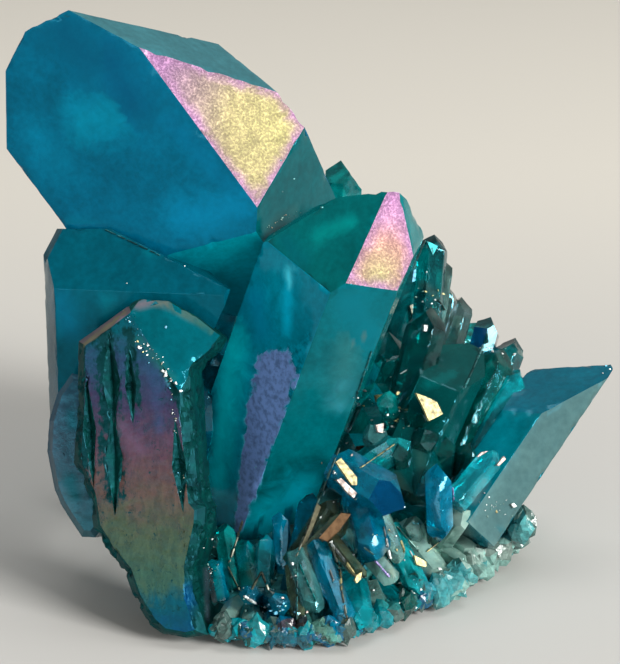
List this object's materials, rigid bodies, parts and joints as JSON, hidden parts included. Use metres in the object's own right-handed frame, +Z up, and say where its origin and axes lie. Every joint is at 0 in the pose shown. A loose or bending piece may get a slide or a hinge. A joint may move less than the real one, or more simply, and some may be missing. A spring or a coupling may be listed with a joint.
{
  "type": "aqua aura quartz cluster",
  "caption": "Cluster of blue-green coated quartz crystals with pointed tips, grown together on a flat-based lump of matrix, for display on a shelf.",
  "frame": {"origin": "middle of the box round the cluster, on its flat underside", "axes": "+Z up, -Y towards the front, where the rough plate and the two large crystals' iridescent tip faces show"},
  "size_m": [0.0916, 0.0822, 0.0853],
  "materials": {
    "quartz": "blue-green coated quartz, translucent, with iridescent gold, pink and violet faces"
  },
  "bodies": {
    "root": {"quartz_cluster": "quartz"}
  },
  "joints": []
}
